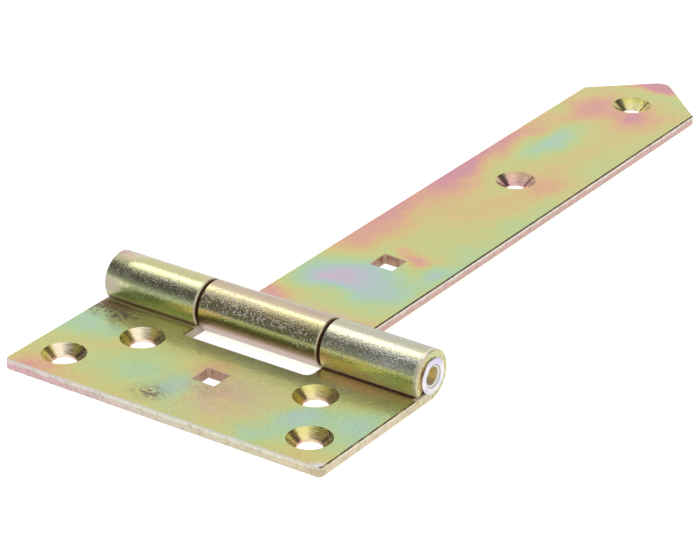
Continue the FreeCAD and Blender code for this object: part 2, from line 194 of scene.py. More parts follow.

# The painted shade of the countersinks by the angle about their own axis, in degrees from the right.
LEAF_SINK_SHADES = [
    (-180, (240, 220, 196)),
    (-158, (255, 250, 224)),
    (-20, (255, 255, 255)),
    (15, (196, 190, 180)),
    (60, (160, 150, 140)),
    (88, (232, 226, 206)),
    (106, (255, 255, 255)),
    (160, (255, 255, 255)),
    (180, (210, 184, 168)),
]
STRAP_SINK_SHADES = [
    (-180, (236, 200, 184)),
    (-160, (255, 250, 244)),
    (45, (255, 250, 246)),
    (60, (226, 196, 180)),
    (75, (255, 250, 246)),
    (165, (255, 250, 246)),
    (180, (236, 200, 184)),
]

# The cream part of a countersink, a painted highlight, in degrees about its axis, and the direction that its
# tool marks face.
SINK_HIGHLIGHT_FROM = (96, 114)
SINK_HIGHLIGHT_TO = (172, 156)
TOOL_MARK_SIDE = (0.80, 0.60, 0)
TOOL_MARK_FAR_SHARE = 0.62

# The skin of the knuckles by the angle about the pin, in degrees up from the front: the film's colour with
# the knuckles' bands of reflection, highlight and shade painted in.
SKIN_RANGE = (-60, 160)
LEFT_SKIN_AND_PAINTED_BANDS = [
    (-40, (255, 236, 160)),
    (-29, (255, 255, 184)),
    (-16, (214, 246, 144)),
    (-8, (196, 232, 134)),
    (4, (152, 170, 100)),
    (10, (160, 174, 108)),
    (16, (192, 206, 152)),
    (26, (158, 164, 122)),
    (40, (160, 158, 126)),
    (48, (176, 174, 138)),
    (60, (203, 203, 156)),
    (92, (198, 194, 136)),
    (114, (186, 184, 128)),
    (135, (200, 192, 136)),
]
MIDDLE_SKIN_AND_PAINTED_BANDS = [
    (-27, (230, 204, 202)),
    (-20, (196, 168, 150)),
    (-14, (124, 104, 66)),
    (-6, (112, 98, 54)),
    (4, (168, 166, 78)),
    (15, (202, 210, 130)),
    (21, (88, 88, 44)),
    (30, (150, 140, 84)),
    (40, (206, 188, 138)),
    (62, (164, 152, 114)),
    (76, (214, 196, 164)),
    (92, (192, 160, 144)),
    (114, (158, 134, 122)),
    (135, (196, 174, 132)),
]
RIGHT_SKIN_AND_PAINTED_BANDS = [
    (-40, (255, 214, 150)),
    (-30, (255, 250, 180)),
    (-16, (255, 250, 140)),
    (-4, (255, 244, 96)),
    (10, (226, 222, 110)),
    (16, (240, 238, 156)),
    (22, (160, 164, 118)),
    (28, (172, 176, 142)),
    (44, (192, 190, 166)),
    (60, (214, 214, 190)),
    (92, (184, 184, 166)),
    (114, (172, 172, 160)),
    (135, (200, 192, 136)),
]

# Patches on the knuckles, partly the film and partly painted highlights and reflections: middle along the
# pin and in degrees, half lengths, colour and strength.
LEAF_KNUCKLE_PATCHES_AND_PAINTED_LIGHT = [
    ((-49, 94), (6, 26), (236, 176, 168), 0.80),
    ((-51, -2), (4, 28), (248, 216, 192), 0.95),
    ((-45, 16), (5, 9), (252, 248, 188), 0.95),
    ((-44, -8), (5, 12), (116, 116, 52), 0.60),
    ((30, -14), (9, 16), (255, 232, 110), 0.80),
    ((42, 36), (11, 20), (238, 238, 234), 0.85),
    ((-25, 2), (8, 14), (255, 255, 146), 0.95),
    ((40, -6), (11, 22), (196, 232, 140), 0.85),
    ((34, -14), (4, 7), (236, 196, 160), 0.60),
    ((46, 0), (5, 40), (176, 208, 110), 0.50),
    ((21, -4), (4, 18), (252, 196, 132), 0.75),
    ((-48, 68), (5, 14), (172, 160, 112), 0.70),
]
STRAP_KNUCKLE_PATCHES_AND_PAINTED_LIGHT = [
    ((-14, 14), (7, 6), (244, 184, 136), 0.70),
    ((-10, 96), (9, 16), (190, 196, 140), 0.35),
    ((12, -4), (9, 8), (150, 110, 70), 0.50),
    ((0, 9), (14, 5), (180, 212, 92), 0.55),
]

# Parts of the knuckles by the angle about the pin, in degrees, from where a share is low to where it is full.
ROLL_LIP_TURN = (-22, -26)
BELLY_TURN = (12, -4)
LOW_SIDE_TURN = (-16, -26)
RING_TOP_TURN = (40, 80)
RING_UNDERSIDE_TURN = (-32, -52)
STREAKED_TURN = (48, 60)
SPECKS_FROM_TURN = (0, 16)
SPECKS_TO_TURN = (70, 54)

# Rims of the knuckles' ends, worn and with a painted highlight: place along the pin, width and strength.
LEAF_RIMS = [(-20, 0.8, 0.8), (50, 1.5, 0.9)]
STRAP_RIMS = [(19, 0.6, 0.5)]

# Pale patches and scratched patches of the knuckles: middle along the pin and in degrees, and half lengths.
LEAF_PALE_ENDS = [((-50, 5), (7, 24))]
STRAP_SCRATCHED = [((-10, 44), (12, 34)), ((-7, 40), (5, 20)), ((14.5, 20), (5, 24)), ((4, 34), (8, 12))]

# Layers of scratches: turn of the net in degrees, size of its cells, width as a share, and share of cells.
SCRATCH_LAYERS = [(10, 4.4, 0.028, 0.7), (40, 2.6, 0.05, 0.6), (75, 1.2, 0.11, 0.5), (120, 0.7, 0.22, 0.4)]
SCRATCH_BOW = 0.8
SCRATCH_ENDS = (0.44, 0.28)

# The upper and the lower band of the sheared faces, along the pin from one end of the leaf to the other.
LEAF_UPPER_BAND = [
    (0.00, (228, 210, 206)),
    (0.20, (232, 222, 210)),
    (0.40, (230, 230, 212)),
    (0.70, (230, 230, 206)),
    (1.00, (236, 228, 200)),
]
LEAF_LOWER_BAND = [
    (0.00, (226, 180, 190)),
    (0.22, (224, 186, 190)),
    (0.40, (222, 212, 198)),
    (0.70, (224, 216, 184)),
    (1.00, (230, 214, 184)),
]
STRAP_UPPER_BAND = [(0.0, (236, 224, 216)), (1.0, (234, 220, 206))]
STRAP_LOWER_BAND = [(0.0, (216, 176, 174)), (1.0, (216, 180, 170))]

# Walls of the openings: middle about the pin, half lengths, light and dark colour, and dullness.
LEAF_WALLS = [
    ((0, -26.2), (4.5, 4.5), (218, 182, 160), (194, 158, 134), 0.35),
    ((0, -9.0), (20.5, 3.4), (244, 234, 216), (216, 196, 164), 0.7),
]
STRAP_WALLS = [((0, 53.7), (4.8, 4.8), (206, 172, 150), (168, 130, 104), 0.0)]

# Single colours of the plates and their knuckles.
GOLD_SEAM = (224, 184, 104)
RED_SEAM = (112, 50, 16)
ROLL_LIP = (150, 128, 66)
PALE_END = (255, 240, 206)
# Worn rims, partly a painted highlight along the ends' edges.
WORN_RIM_AND_HIGHLIGHT = (250, 240, 206)
DARK_SPECK = (64, 62, 54)
# The light specks are partly painted glints.
LIGHT_SPECK_AND_GLINT = (232, 230, 220)
SCRATCH = (246, 243, 238)
GRAIN = (132, 120, 84)
TEAR = (170, 136, 116)
FACE_MOTTLE = (164, 138, 104)
BAND_BORDER = (150, 120, 100)
# Painted highlights along the tops of the openings' walls and down their far corner.
WALL_RIM_HIGHLIGHT = (250, 232, 214)
CORNER_HIGHLIGHT = (246, 228, 210)
RING_INSIDE = (186, 150, 60)
RING_OUTSIDE = (232, 214, 150)
RING_TOP = (208, 218, 156)
RING_UNDERSIDE = (232, 224, 200)
RING_LIGHT_MOTTLE = (226, 206, 160)
RING_DARK_MOTTLE = (128, 112, 56)
# Painted shade, as a thin line round the end faces.
RING_SHADE_LINE = (120, 100, 76)
GAP_IN_PLATE = (240, 230, 214)
# Painted shade on the walls of the gaps between the knuckles.
GAP_IN_BARREL_SHADE = (136, 92, 58)
# A painted highlight along the front edge.
FRONT_EDGE_HIGHLIGHT = (255, 252, 242)
# A painted dark reflection along the right edge, broken by gold.
RIGHT_EDGE_DARK_REFLECTION = (120, 84, 56)
RIGHT_EDGE_GOLD = (214, 186, 118)
# A thin line of painted shade round the left end.
LEFT_END_SHADE_LINE = (70, 60, 50)
# Painted highlights on the far-left walls of the countersinks.
LEFT_SINK_HIGHLIGHT = (255, 240, 214)
RIGHT_SINK_HIGHLIGHT = (250, 242, 176)
TOOL_MARK = (82, 66, 38)

# Single colours of the pin.
HEAD_VIOLET = (220, 214, 236)
HEAD_WHITE = (248, 246, 246)
DISH = (222, 222, 214)
# A thin ring of painted shade at the step of the dish.
DISH_SHADE_LINE = (84, 76, 78)
BORE_CREAM = (255, 252, 232)
BORE_GOLD = (250, 226, 150)
BORE_SHADE = (120, 98, 66)

# The overhead strip lamp and the dark card in front, both along the pin. Lengths are in metres.
STRIP_PLACE = (-0.73, 0.27, 1.20)
STRIP_SIZE = (2.0, 0.40)
STRIP_WATTS = 4.5
FRONT_CARD_AWAY = 0.40
FRONT_CARD_BETWEEN = (-1.6, 0.4)
FRONT_CARD_FROM = 0.06
FRONT_CARD_TO = 1.27

# The glow of the front card's lower and upper part: from and to in degrees up from the pin, and glow there.
FRONT_CARD_LOWER = ((6, 32), (0.55, 0.13))
FRONT_CARD_UPPER = ((58, 72), (0.0, 0.5))

# The other dark cards: azimuth, elevation and distance from the pin, width and height, and grey.
DARK_CARDS = [
    ("back_right_card", (36, 35, 1.5), (1.2, 0.8), 0.09),
    ("left_card", (-95, 24, 1.5), (1.1, 0.75), 0.06),
]

BACKGROUND_STRENGTH = 1.0
ROOM_STRENGTH = 0.55
FLOOR_SIZE = 6.0
FLOOR_HEIGHT = -0.0001
FLOOR_PAINT = 0.9
FLOOR_GLOW_SEEN = 0.75
FLOOR_GLOW_REFLECTED = 0.42
WHITE = (1, 1, 1, 1)


def screen(colour):
    """A colour as Blender wants it, from its 8-bit screen values."""
    shares = [part / 255 for part in colour]
    linear = [share / 12.92 if share <= 0.04045 else ((share + 0.055) / 1.055) ** 2.4 for share in shares]
    return (*linear, 1.0)


class Graph:
    """The nodes of one material or world, added by short calls that give their first output."""

    def __init__(self, owner):
        owner.use_nodes = True
        self.tree = owner.node_tree
        self.tree.nodes.clear()

    def node(self, kind, inputs=None, **settings):
        made = self.tree.nodes.new("ShaderNode" + kind)
        for name, value in settings.items():
            setattr(made, name, value)
        for key, value in (inputs or {}).items():
            if isinstance(value, bpy.types.NodeSocket):
                self.tree.links.new(value, made.inputs[key])
            else:
                made.inputs[key].default_value = value
        return made

    def math(self, operation, *values, clamp=False):
        return self.node("Math", dict(enumerate(values)), operation=operation, use_clamp=clamp).outputs[0]

    def times(self, first, *others):
        """The product of the values."""
        for other in others:
            first = self.math("MULTIPLY", first, other)
        return first

    def most(self, first, *others):
        """The largest of the values."""
        for other in others:
            first = self.math("MAXIMUM", first, other)
        return first

    def rest(self, share):
        """What a share leaves of one."""
        return self.math("SUBTRACT", 1.0, share)

    def vector(self, operation, *values):
        return self.node("VectorMath", dict(enumerate(values)), operation=operation).outputs[0]

    def length(self, vector):
        return self.node("VectorMath", {0: vector}, operation="LENGTH").outputs["Value"]

    def parts(self, vector):
        """The X, Y and Z of a vector."""
        return self.node("SeparateXYZ", {0: vector}).outputs

    def ease(self, value, start, end, low=0.0, high=1.0):
        """Low before start, high after end, and a smooth step between them."""
        inputs = {"Value": value, "From Min": start, "From Max": end, "To Min": low, "To Max": high}
        return self.node("MapRange", inputs, interpolation_type="SMOOTHSTEP").outputs["Result"]

    def ease_angle(self, angle, start, end, low=0.0, high=1.0):
        """As ease, for an angle in radians whose start and end are in degrees."""
        return self.ease(angle, math.radians(start), math.radians(end), low, high)

    def noise(self, where, size, detail=2.0, roughness=0.5, output="Fac"):
        """Noise whose bumps are about size across, in the units of where."""
        inputs = {"Vector": where, "Scale": 1 / size, "Detail": detail, "Roughness": roughness}
        return self.node("TexNoise", inputs).outputs[output]

    def mapped(self, where, location=(0, 0, 0), turn=(0, 0, 0), scale=(1, 1, 1)):
        """Where, as seen from a frame at location that is turned and whose unit is scale."""
        inputs = {"Vector": where, "Location": location, "Rotation": turn, "Scale": scale}
        return self.node("Mapping", inputs, vector_type="TEXTURE").outputs[0]

    def mix(self, share, low, high):
        """The low colour where share is 0, and the high one where it is 1."""
        made = self.node("Mix", data_type="RGBA")
        sockets = {"Factor": share, "A": low, "B": high}
        for socket in made.inputs:
            wanted = socket.type == "RGBA" or (socket.name == "Factor" and socket.type == "VALUE")
            if socket.name in sockets and wanted:
                value = sockets.pop(socket.name)
                if isinstance(value, bpy.types.NodeSocket):
                    self.tree.links.new(value, socket)
                else:
                    socket.default_value = value
        return next(socket for socket in made.outputs if socket.type == "RGBA")

    def paint(self, colour, share, over):
        """The colour, covered by an 8-bit screen colour as far as share says."""
        return self.mix(share, colour, screen(over))

    def ramp(self, value, stops, way="B_SPLINE"):
        made = self.node("ValToRGB", {"Fac": value})
        made.color_ramp.interpolation = way
        elements = made.color_ramp.elements
        while len(elements) < len(stops):
            elements.new(0.5)
        for element, (place, colour) in zip(elements, stops):
            element.position = place
            element.color = screen(colour)
        return made.outputs["Color"]

    def bump(self, height, distance):
        """The normal over a relief whose heights are in units of distance."""
        return self.node("Bump", {"Height": height, "Distance": distance, "Strength": 1.0}).outputs["Normal"]

    def surface(self, inputs):
        """Gives the material its surface, from the inputs of a Principled shader."""
        shader = self.node("BsdfPrincipled", inputs)
        self.node("OutputMaterial", {"Surface": shader.outputs[0]})

    def glow(self, colour, strength):
        """Makes the material one that only glows."""
        shader = self.node("Emission", {"Color": colour, "Strength": strength})
        self.node("OutputMaterial", {"Surface": shader.outputs[0]})


class PlatedSteel(Graph):
    """Yellow passivated zinc on stamped steel plate, rolled into knuckles.

    The look holds what differs between the pieces. Places are in millimetres about the pin, and shares
    run from 0 to 1. Pairs in the look are for the left and for the right of the piece.
    """

    def __init__(self, name, look):
        self.material = bpy.data.materials.new(name)
        super().__init__(self.material)
        self.look = look
        self.find_faces()
        self.find_sinks()
        self.find_edges()
        self.find_seams()
        self.find_angles()
        colour = self.plate_film()
        colour = self.knuckle_skin(colour)
        colour = self.roll_ends(colour)
        colour = self.wear(colour)
        colour = self.sheared_faces(colour)
        colour = self.end_rings(colour)
        colour = self.edge_lines(colour)
        colour = self.countersinks(colour)
        dull = self.dullness()
        self.surface({
            "Base Color": colour,
            "Metallic": self.math("SUBTRACT", 1.0, dull, clamp=True),
            "Roughness": self.roughness(dull),
            "Normal": self.bump(self.relief(), MM),
            "Coat Weight": 0.5,
            "Coat Roughness": 0.5,
            "Coat IOR": 1.8,
        })

    def by_side(self, pair):
        """The first of a pair of numbers on the left, and the second on the right."""
        return self.math("MULTIPLY_ADD", self.on_right, pair[1] - pair[0], pair[0])

    def patch_share(self, where, middle, half, turn=0):
        """One in the middle of a soft patch, and zero outside it."""
        inside = self.mapped(where, (*middle, 0), (0, 0, math.radians(turn)), (*half, 1000))
        return self.ease(self.length(inside), 0.0, 1.3, 1.0, 0.0)

    def barrel_share(self, middle, half):
        """One in the middle of a soft patch of a barrel, whose second lengths are in degrees."""
        (x, angle), (half_x, half_angle) = middle, half
        place = (x, math.radians(angle) * KNUCKLE_RADIUS)
        size = (half_x, math.radians(half_angle) * KNUCKLE_RADIUS)
        return self.patch_share(self.around_pin, place, size)

    def find_faces(self):
        """Where a point is, and whether it is on the barrel, the flat of the plate or an end face."""
        coordinates = self.node("TexCoord").outputs
        self.where = self.mapped(coordinates["Object"], (PIN.x, PIN.y, 0), scale=(MM, MM, MM))
        self.flat = self.vector("MULTIPLY", self.where, (1, 1, 0))
        place = self.parts(self.where)
        self.x, self.y, self.z = (place[axis] for axis in "XYZ")
        self.normal = self.parts(coordinates["Normal"])
        self.upright = self.math("ABSOLUTE", self.normal["Z"])
        self.on_right = self.math("GREATER_THAN", self.x, 0.0)
        self.barrel = self.ease(self.math("ABSOLUTE", self.y), *BARREL_SIDE)
        self.off_barrel = self.rest(self.barrel)
        self.end_face = self.ease(self.math("ABSOLUTE", self.normal["X"]), *END_FACE_NORMAL)
        self.end_ring = self.times(self.end_face, self.barrel)
        self.rolled = self.times(self.barrel, self.rest(self.end_ring))
        near_middle = self.math("LESS_THAN", self.math("ABSOLUTE", self.x), GAP_REACH)
        self.in_gap = self.times(self.end_ring, near_middle)

    def find_sinks(self):
        """How much a point is in a countersink, and where it is about that countersink's axis."""
        self.in_sink = 0.0
        self.about_sink = (0, 0, 0)
        for middle, radius in self.look["sinks"]:
            arm = self.vector("SUBTRACT", self.flat, (*middle, 0))
            inside = self.math("LESS_THAN", self.length(arm), radius)
            self.in_sink = self.math("ADD", self.in_sink, inside)
            kept_arm = self.node("VectorMath", {0: arm, "Scale": inside}, operation="SCALE").outputs[0]
            self.about_sink = self.vector("ADD", self.about_sink, kept_arm)

    def find_edges(self):
        """The sheared faces of the plate, and its bevelled front and right top edges."""
        in_plate = self.times(self.math("LESS_THAN", self.z, JUST_OVER_PLATE), self.off_barrel)
        in_plate = self.times(in_plate, self.rest(self.in_sink))
        self.sheared = self.times(self.ease(self.upright, *SHEARED_NORMAL), in_plate)
        bevel = self.times(self.ease(self.upright, *BEVEL_NORMAL_TO),
                           self.ease(self.upright, *BEVEL_NORMAL_FROM), in_plate)
        self.front_edge = self.times(bevel, self.ease(self.normal["Y"], *FRONT_NORMAL))
        to_right = self.ease(self.normal["X"], *RIGHT_NORMAL)
        self.right_edge = self.times(bevel, to_right, self.ease(self.normal["Z"], 0.0, 0.2))

    def find_seams(self):
        """The line on the plate under the rolled end, and the dull strip of plate beside the barrel."""
        top_face = self.ease(self.normal["Z"], *TOP_FACE_NORMAL)
        plate_top = self.times(self.math("LESS_THAN", self.z, JUST_OVER_PLATE), top_face)
        from_seam = self.math("SUBTRACT", self.y, self.by_side(self.look["seam_line"]))
        seam_line = self.times(plate_top, self.ease(from_seam, *SEAM_SIDE))
        seam_line = self.times(seam_line, self.math("LESS_THAN", self.y, 0.0))
        fading = self.most(self.on_right, self.ease(self.x, *SEAM_FADE, 0.75, 1.0))
        self.seam_line = self.times(seam_line, fading)
        beside = self.times(self.ease(self.y, *BESIDE_BARREL_FROM), self.off_barrel)
        self.beside_barrel = self.times(beside, self.ease(self.y, *BESIDE_BARREL_TO))

    def find_angles(self):
        """The angle about the pin, the place on the unrolled barrel and the distance from the pin."""
        height = self.math("SUBTRACT", self.z, KNUCKLE_RADIUS)
        lean = self.math("ARCTAN2", self.times(self.y, -1.0), height)
        self.turn = self.math("SUBTRACT", math.pi / 2, lean)
        arc = self.times(self.turn, KNUCKLE_RADIUS)
        self.around_pin = self.node("CombineXYZ", {"X": self.x, "Y": arc}).outputs[0]
        self.outward = self.length(self.node("CombineXYZ", {"Y": self.y, "Z": height}).outputs[0])

    def film_thickness(self):
        """The film's thickness: a base, drifting noise and soft patches with uneven rims."""
        wander = self.vector("SUBTRACT", self.noise(self.where, 13, 2, 0.45, "Color"), (0.5, 0.5, 0.5))
        wandered = self.vector("ADD", self.where, self.vector("MULTIPLY", wander, (15, 15, 0)))
        drift = self.math("SUBTRACT", self.noise(self.where, 24, 1.5, 0.4), 0.5)
        thickness = self.math("MULTIPLY_ADD", drift, 0.30, FILM_BASE)
        for middle, half, turn, change in self.look["patches"]:
            share = self.patch_share(wandered, middle, half, turn)
            thickness = self.math("MULTIPLY_ADD", share, change, thickness)
        ripple = self.math("SUBTRACT", self.noise(self.where, 3.0, 3, 0.55), 0.5)
        return self.math("MULTIPLY_ADD", ripple, 0.12, thickness)

    def plate_film(self):
        """The film on the plate's flat with tarnish, painted reflections, and stains and painted light along
        the seams.
        """
        self.film = self.ramp(self.film_thickness(), FILM_COLOURS)
        self.grime = self.noise(self.where, 1.1, 4, 0.7)
        swirl = self.ease(self.noise(self.where, 5.0, 4, 0.55), 0.36, 0.62, 0.6, 1.25)
        speckle = self.ease(self.grime, 0.42, 0.56, -0.75, 0.5)
        colour = self.film
        self.tarnish_and_reflection = 0.0
        # Some tarnished patches of the cross leaf are painted reflections of the knuckles beside the barrel.
        for middle, half, turn, strength, tarnish, speckled in self.look["tarnish"]:
            share = self.times(self.patch_share(self.where, middle, half, turn), strength)
            share = self.times(share, self.math("MULTIPLY_ADD", speckle, speckled, 1.0))
            share = self.math("MULTIPLY", share, swirl, clamp=True)
            colour = self.paint(colour, share, tarnish)
            self.tarnish_and_reflection = self.most(self.tarnish_and_reflection, share)
        self.seam_stain_and_light = 0.0
        # Partly real stains and partly painted light for the knuckles to mirror.
        for middle, half, turn, strength, tint in self.look["seam_stains_and_painted_light"]:
            share = self.patch_share(self.where, middle, half, turn)
            share = self.math("MULTIPLY", share, strength, clamp=True)
            colour = self.paint(colour, share, tint)
            self.seam_stain_and_light = self.most(self.seam_stain_and_light, share)
        return colour

    def skin_of(self, stops):
        """The skin of a knuckle, with its bands of reflection and shade painted in, by the angle about the
        pin.
        """
        low, high = SKIN_RANGE
        share = self.math("MULTIPLY_ADD", self.turn, 1 / math.radians(high - low), -low / (high - low))
        stops = [((angle - low) / (high - low), colour) for angle, colour in stops]
        return self.ramp(share, stops, "LINEAR")

    def knuckle_skin(self, colour):
        """The knuckles' skin with painted bands, soft patches partly of painted light, and streaks of the
        film.
        """
        left, right = (self.skin_of(stops) for stops in self.look["skins_and_painted_bands"])
        skin = self.mix(self.on_right, left, right)
        # Some of these patches are painted highlights and painted reflections.
        for middle, half, patch_colour, strength in self.look["knuckle_patches_and_painted_light"]:
            skin = self.paint(skin, self.times(self.barrel_share(middle, half), strength), patch_colour)
        streaks = self.noise(self.mapped(self.where, scale=(9, 1.6, 1.6)), 1.0, 3, 0.6)
        streaked = self.ease_angle(self.turn, *STREAKED_TURN, 0.3, 1.0)
        skin = self.mix(self.times(self.ease(streaks, 0.40, 0.72, 0.0, 0.4), streaked), skin, self.film)
        skinned = self.times(self.barrel, self.ease(self.z, 0.3, 1.5))
        return self.mix(skinned, colour, skin)

    def roll_ends(self, colour):
        """The seam under the rolled end, its lip, the pale left end, and worn rims with a painted highlight.
        """
        reddened = self.most(self.on_right, self.ease(self.x, *SEAM_REDDENED))
        seam_tint = self.mix(reddened, screen(GOLD_SEAM), screen(RED_SEAM))
        colour = self.mix(self.seam_line, colour, seam_tint)
        lip = self.times(self.rolled, self.ease_angle(self.turn, *ROLL_LIP_TURN), self.rest(self.on_right))
        colour = self.paint(colour, self.times(lip, self.look["lip"]), ROLL_LIP)
        pale_end = 0.0
        for middle, half in self.look["pale_ends"]:
            pale_end = self.most(pale_end, self.barrel_share(middle, half))
        self.pale_end = self.times(self.ease(pale_end, 0.1, 0.6), self.rolled)
        colour = self.paint(colour, self.times(self.pale_end, 0.95), PALE_END)
        # The worn rims also carry a painted highlight along the ends' edges.
        rim_wear_and_highlight = 0.0
        for end, width, strength in self.look["rims"]:
            away = self.math("ABSOLUTE", self.math("SUBTRACT", self.x, end))
            rim_wear_and_highlight = self.most(rim_wear_and_highlight, self.ease(away, width, 0.6 * width, 0.0, strength))
        self.rim_wear_and_highlight = self.times(rim_wear_and_highlight, self.rolled)
        uneven = self.ease(self.grime, 0.3, 0.6, 0.6, 1.0)
        return self.paint(colour, self.times(self.rim_wear_and_highlight, uneven), WORN_RIM_AND_HIGHLIGHT)

    def scratch_layer(self, turn, size, width, share):
        """Short bowed scratches on a barrel, in a share of the cells of a net, each turned its own way."""
        origin = (turn, 3 * turn, 0)
        field = self.mapped(self.around_pin, origin, (0, 0, math.radians(turn)), (size, size, 1))
        cell = self.node("TexVoronoi", {"Vector": field, "Scale": 1.0}, voronoi_dimensions="2D").outputs
        dice = self.node("SeparateColor", {0: cell["Color"]}).outputs
        away = self.vector("SUBTRACT", field, cell["Position"])
        inputs = {"Vector": away, "Angle": self.times(dice[0], 2 * math.pi)}
        part = self.parts(self.node("VectorRotate", inputs, rotation_type="Z_AXIS").outputs[0])
        bow = self.times(self.math("MULTIPLY_ADD", dice[1], 2 * SCRATCH_BOW, -SCRATCH_BOW), part["X"])
        off_line = self.math("ABSOLUTE", self.math("MULTIPLY_ADD", bow, part["X"], part["Y"]))
        tapered = self.ease(self.math("ABSOLUTE", part["X"]), *SCRATCH_ENDS)
        line = self.times(self.ease(off_line, width, 0.4 * width), tapered)
        kept = self.math("LESS_THAN", dice[2], share)
        return self.times(line, kept, self.ease(dice[0], 0.1, 0.9, 0.25, 1.0))

    def find_scratches(self):
        """Scratches and chips in the scratched patches of a barrel."""
        marks = 0.0
        for layer in SCRATCH_LAYERS:
            marks = self.most(marks, self.scratch_layer(*layer))
        scratched = 0.0
        for middle, half in self.look["scratched"]:
            scratched = self.most(scratched, self.barrel_share(middle, half))
        chips = self.ease(self.noise(self.around_pin, 0.9, 2, 0.5), 0.66, 0.69)
        marks = self.most(marks, self.times(chips, self.ease(scratched, 0.4, 0.8)))
        self.marks = self.times(marks, self.ease(scratched, 0.10, 0.45), self.rolled)

    def wear(self, colour):
        """Light and dark specks and scratches on the knuckles, and a fine grain over everything."""
        # The specks keep to the band where the knuckles mirror the dark card, so the light ones are partly
        # painted glints.
        mirrored_dark_band = self.times(self.ease_angle(self.turn, *SPECKS_FROM_TURN, 0.35, 1.0),
                                self.ease_angle(self.turn, *SPECKS_TO_TURN, 0.25, 1.0))
        self.speck_share = self.times(self.by_side(self.look["specks"]), mirrored_dark_band)
        specks = self.ease(self.noise(self.where, SPECK_SIZE, 2, 0.6), 0.58, 0.63)
        crowded = self.ease(self.noise(self.where, 6, 2), 0.35, 0.6, 0.4, 1.0)
        self.specks = self.times(specks, crowded, self.speck_share, self.rolled)
        dark_specks = self.ease(self.noise(self.where, 0.36, 2, 0.6), 0.42, 0.36)
        dark_specks = self.times(dark_specks, self.speck_share, self.rolled)
        self.find_scratches()
        colour = self.paint(colour, self.times(dark_specks, 0.45), DARK_SPECK)
        colour = self.paint(colour, self.times(self.specks, 0.85), LIGHT_SPECK_AND_GLINT)
        colour = self.paint(colour, self.times(self.marks, 0.95), SCRATCH)
        grain = self.noise(self.where, 0.7, 4, 0.65)
        return self.paint(colour, self.ease(grain, 0.38, 0.72, 0.0, self.look["grain"]), GRAIN)

    def sheared_faces(self, colour):
        """An upper and a lower band with a wavy line between them, and the walls of the openings."""
        along = self.math("MULTIPLY_ADD", self.x, 1 / LEAF_LENGTH, 0.5)
        border = self.noise(self.mapped(self.where, scale=(5, 5, 50)), 1.0, 2, 0.5)
        above = self.math("SUBTRACT", self.z, self.math("MULTIPLY_ADD", border, 1.6, 1.0))
        lower, upper = (self.ramp(along, self.look[band]) for band in ("lower_band", "upper_band"))
        band = self.mix(self.ease(above, -0.25, 0.25), lower, upper)
        self.tears = self.noise(self.mapped(self.where, scale=(0.7, 0.7, 5)), 1.0, 3, 0.6)
        band = self.paint(band, self.ease(self.tears, 0.5, 0.75, 0.0, 0.18), TEAR)
        mottle = self.noise(self.where, 1.4, 4, 0.65)
        band = self.paint(band, self.ease(mottle, 0.48, 0.66, 0.0, 0.38), FACE_MOTTLE)
        band = self.paint(band, self.ease(self.math("ABSOLUTE", above), 0.28, 0.10, 0.0, 0.16), BAND_BORDER)
        self.dull_wall = 0.0
        for (middle_x, middle_y), (half_x, half_y), light, dark, dullness in self.look["walls"]:
            across = self.math("ABSOLUTE", self.math("SUBTRACT", self.x, middle_x))
            beside = self.math("ABSOLUTE", self.math("SUBTRACT", self.y, middle_y))
            inside = self.times(self.math("LESS_THAN", across, half_x),
                                self.math("LESS_THAN", beside, half_y))
            wall = self.mix(self.ease(self.tears, 0.4, 0.7), screen(light), screen(dark))
            # A painted highlight along the top of each wall.
            wall = self.paint(wall, self.ease(self.z, 2.55, 2.8, 0.0, 0.8), WALL_RIM_HIGHLIGHT)
            band = self.mix(inside, band, wall)
            self.dull_wall = self.math("MULTIPLY_ADD", inside, dullness, self.dull_wall)
        colour = self.mix(self.sheared, colour, band)
        # A painted highlight down the far corner of an opening.
        to_corner = self.length(self.vector("SUBTRACT", self.flat, (*self.look["far_corner"], 0)))
        self.corner_highlight = self.times(self.ease(to_corner, 0.95, 0.55), self.sheared)
        return self.paint(colour, self.times(self.corner_highlight, 0.8), CORNER_HIGHLIGHT)

    def end_rings(self, colour):
        """The knuckles' end faces, gold and mottled with a thin line of painted shade, and the gaps' walls in
        painted shade.
        """
        ring = self.mix(self.ease(self.outward, *RING_SIDE), screen(RING_INSIDE), screen(RING_OUTSIDE))
        ring = self.paint(ring, self.ease_angle(self.turn, *RING_TOP_TURN), RING_TOP)
        ring = self.paint(ring, self.ease_angle(self.turn, *RING_UNDERSIDE_TURN), RING_UNDERSIDE)
        light_mottle = self.ease(self.noise(self.where, 1.6, 3, 0.6), 0.42, 0.60, 0.0, 0.7)
        ring = self.paint(ring, light_mottle, RING_LIGHT_MOTTLE)
        dark_mottle = self.ease(self.noise(self.where, 0.9, 3, 0.6), 0.50, 0.66, 0.0, 0.55)
        ring = self.paint(ring, dark_mottle, RING_DARK_MOTTLE)
        # A thin line of painted shade round the end faces' outer edge.
        outline = self.times(self.ease(self.outward, *RING_SHADE_LINE_SIDE, 0.0, 0.45),
                             self.ease(self.z, *RING_SHADE_LINE_FROM))
        ring = self.paint(ring, outline, RING_SHADE_LINE)
        colour = self.mix(self.end_ring, colour, ring)
        # The barrel's part of each gap's walls is painted shade.
        gap = self.mix(self.ease(self.z, 2.8, 3.2), screen(GAP_IN_PLATE), screen(GAP_IN_BARREL_SHADE))
        return self.mix(self.in_gap, colour, gap)

    def edge_lines(self, colour):
        """Painted light on the edges: front highlight, right dark reflection with gold, thin shade line at
        the left end.
        """
        # A painted highlight along the bevelled front edge.
        colour = self.paint(colour, self.front_edge, FRONT_EDGE_HIGHLIGHT)
